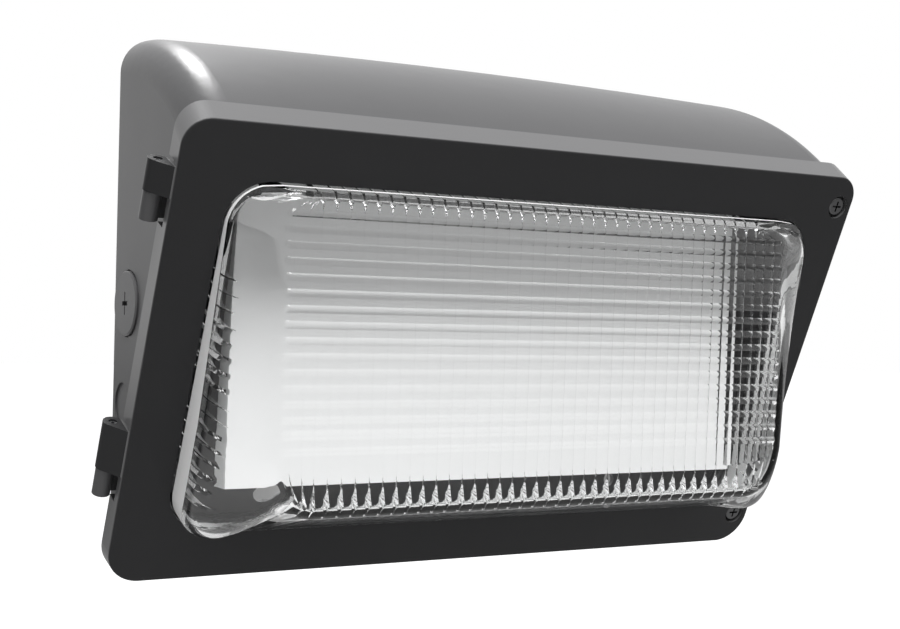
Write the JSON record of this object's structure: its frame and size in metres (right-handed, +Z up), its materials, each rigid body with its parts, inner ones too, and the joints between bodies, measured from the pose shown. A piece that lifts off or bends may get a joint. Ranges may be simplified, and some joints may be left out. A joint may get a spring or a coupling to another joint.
{
  "type": "wall pack light",
  "caption": "Slim wall-mounted outdoor light: domed cast housing, sloping hinged door with a clear ribbed lens bowl, light panel and driver inside.",
  "frame": {"origin": "centre of the rear cable entry, on the wall plane", "axes": "+X to the right of someone facing the light, +Y into the wall, +Z up"},
  "size_m": [0.3693, 0.1028, 0.2435],
  "materials": {
    "housing_paint": "satin powder coat",
    "door_paint": "satin powder coat",
    "fitting_paint": "satin powder coat",
    "clear_lens": "clear polycarbonate",
    "seal_rubber": "matt silicone",
    "bright_steel": "zinc plated",
    "pin_steel": "blackened",
    "white_paint": "white enamel",
    "white_diffuser": "opal",
    "board_white": "solder mask",
    "chip_yellow": "phosphor",
    "driver_case": "moulded case",
    "terminal_plastic": "moulded",
    "brass": "plain",
    "ground_green": "dyed",
    "nylon": "natural nylon",
    "black_wire": "insulation",
    "white_wire": "insulation",
    "green_wire": "insulation",
    "red_wire": "insulation",
    "blue_wire": "insulation"
  },
  "bodies": {
    "housing": {"housing": "housing_paint", "door_seal": "seal_rubber", "upper_hinge_pin": "pin_steel", "lower_hinge_pin": "pin_steel", "conduit_plug": "fitting_paint", "plug_seal": "seal_rubber", "photocell_blank": "fitting_paint", "entry_grommet": "seal_rubber", "tray_standoffs": "bright_steel", "light_tray": "white_paint", "tray_screws": "bright_steel", "lower_light_board": "board_white", "upper_light_board": "board_white", "board_screws": "bright_steel", "light_chips": "chip_yellow", "diffuser": "white_diffuser", "driver": "driver_case", "driver_screws": "bright_steel", "terminal_block": "terminal_plastic", "terminal_screws": "brass", "ground_terminal": "bright_steel", "ground_screw": "ground_green", "led_socket": "nylon", "black_supply_lead": "black_wire", "white_supply_lead": "white_wire", "ground_lead": "green_wire", "red_led_lead": "red_wire", "blue_led_lead": "blue_wire"},
    "door": {"door_frame": "door_paint", "lens_seal": "seal_rubber", "lens": "clear_lens", "lens_clips": "bright_steel", "clip_screws": "bright_steel", "screw_retainers": "nylon"},
    "upper_screw": {"upper_door_screw": "bright_steel"},
    "lower_screw": {"lower_door_screw": "bright_steel"}
  },
  "joints": [
    {"name": "door_hinge", "type": "hinge", "parent": "housing", "child": "door", "pos_m": [-0.1845, -0.04984, -0.01936], "axis": [0, 0.4067, -0.9135], "range_deg": [0, 120]},
    {"name": "upper_screw_travel", "type": "slide", "parent": "door", "child": "upper_screw", "axis": [0, -0.9135, -0.4067], "range_m": [0, 0.0105]},
    {"name": "lower_screw_travel", "type": "slide", "parent": "door", "child": "lower_screw", "axis": [0, -0.9135, -0.4067], "range_m": [0, 0.0105]}
  ]
}
